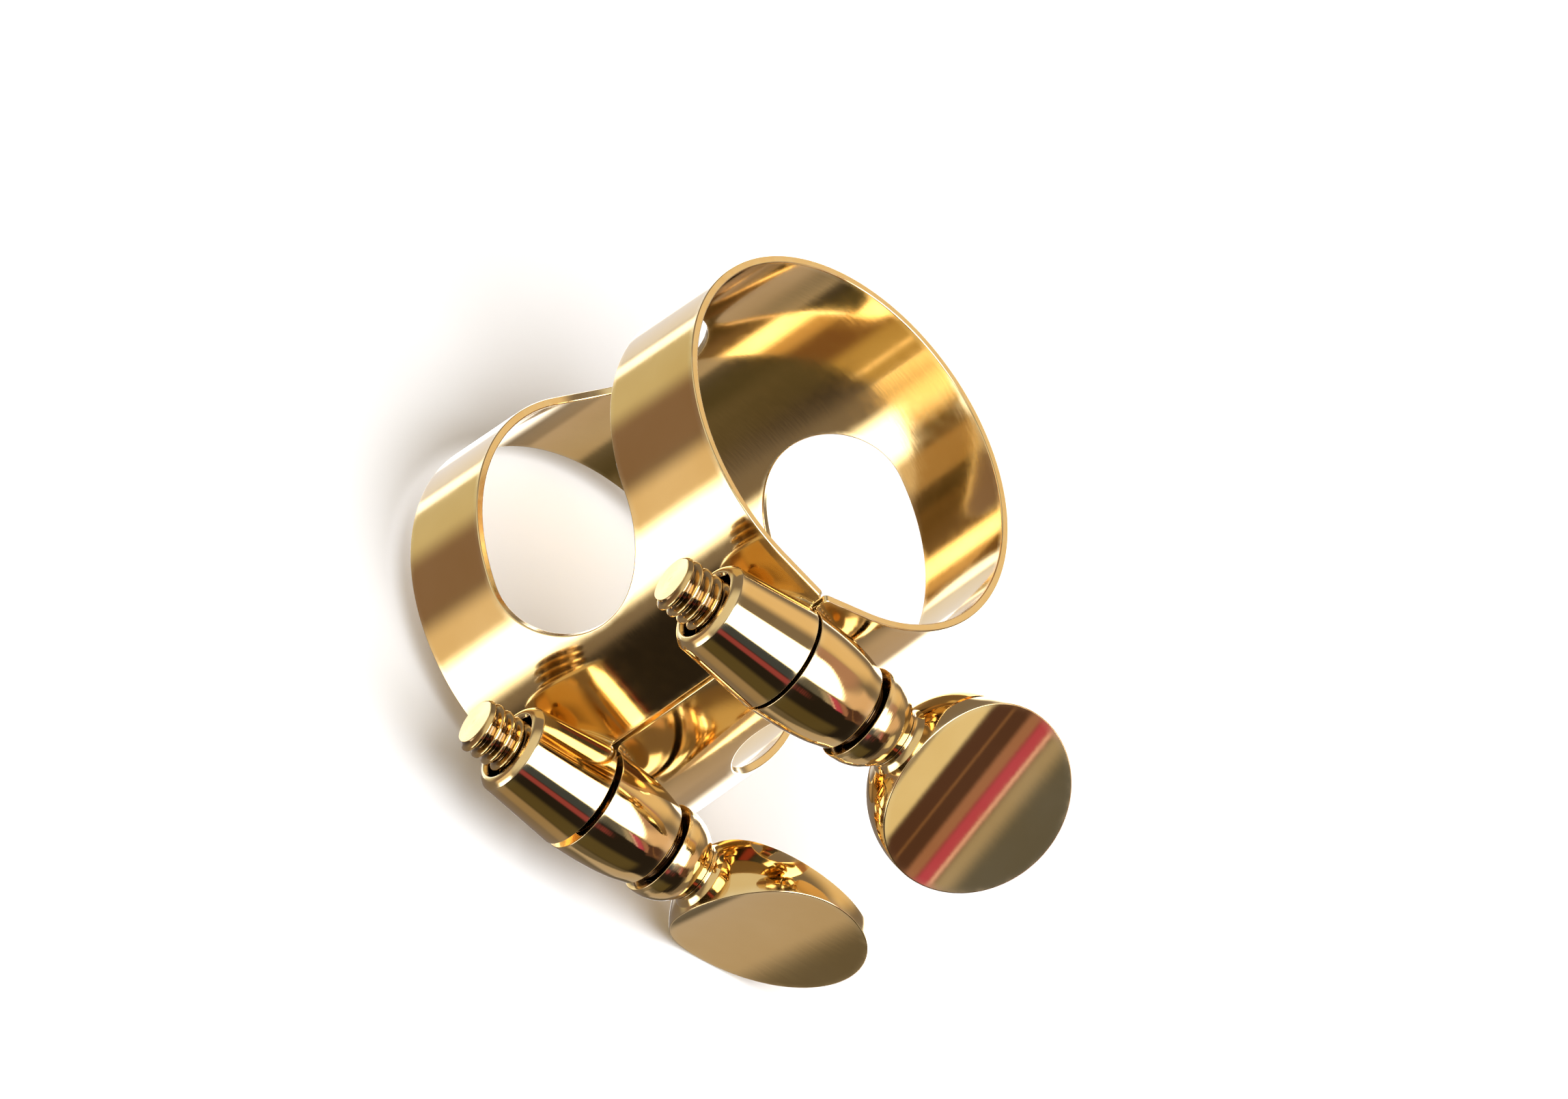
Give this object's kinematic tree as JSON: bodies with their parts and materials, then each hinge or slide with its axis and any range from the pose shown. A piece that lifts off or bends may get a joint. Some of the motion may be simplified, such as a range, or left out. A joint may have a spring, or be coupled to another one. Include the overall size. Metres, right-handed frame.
{
  "type": "saxophone ligature",
  "caption": "Split, slightly tapered brass ring with side windows, closed by thumbscrews that pass through barrel posts on the reed side.",
  "frame": {"origin": "on the ring's bore axis, in the plane of the rear rim", "axes": "+Z along the bore towards the reed's tip, +X along the clamp screws towards their finger plates, -Y is the reed side"},
  "size_m": [0.0331, 0.0319, 0.028],
  "materials": {
    "band_brass": "polished, clear gold lacquer",
    "post_brass": "polished, clear gold lacquer",
    "screw_brass": "turned and polished, clear gold lacquer",
    "plate_brass": "mirror polished, clear gold lacquer"
  },
  "bodies": {
    "left_half": {"band_left": "band_brass", "post_front_threaded": "post_brass", "post_rear_threaded": "post_brass"},
    "right_half": {"band_right": "band_brass", "post_front_clearance": "post_brass", "post_rear_clearance": "post_brass"},
    "front_thumbscrew": {"screw_front": "screw_brass", "plate_front": "plate_brass"},
    "rear_thumbscrew": {"screw_rear": "screw_brass", "plate_rear": "plate_brass"}
  },
  "joints": [
    {"name": "band_spring", "type": "hinge", "parent": "left_half", "child": "right_half", "pos_m": [0, 0.01215, 0.0122], "axis": [0, 0, 1], "range_deg": [0, 2.2]},
    {"name": "front_screw_turn", "type": "hinge", "parent": "right_half", "child": "front_thumbscrew", "pos_m": [0, -0.01498, 0.0213], "axis": [1, 0, 0], "range_deg": [0, 540]},
    {"name": "rear_screw_turn", "type": "hinge", "parent": "right_half", "child": "rear_thumbscrew", "pos_m": [0, -0.01556, 0.00425], "axis": [1, 0, 0], "range_deg": [0, 540]}
  ],
  "couplings": [
    {"joint": "band_spring", "follows": "front_screw_turn", "ratio": 0.0040631},
    {"joint": "rear_screw_turn", "follows": "front_screw_turn", "ratio": 1}
  ]
}
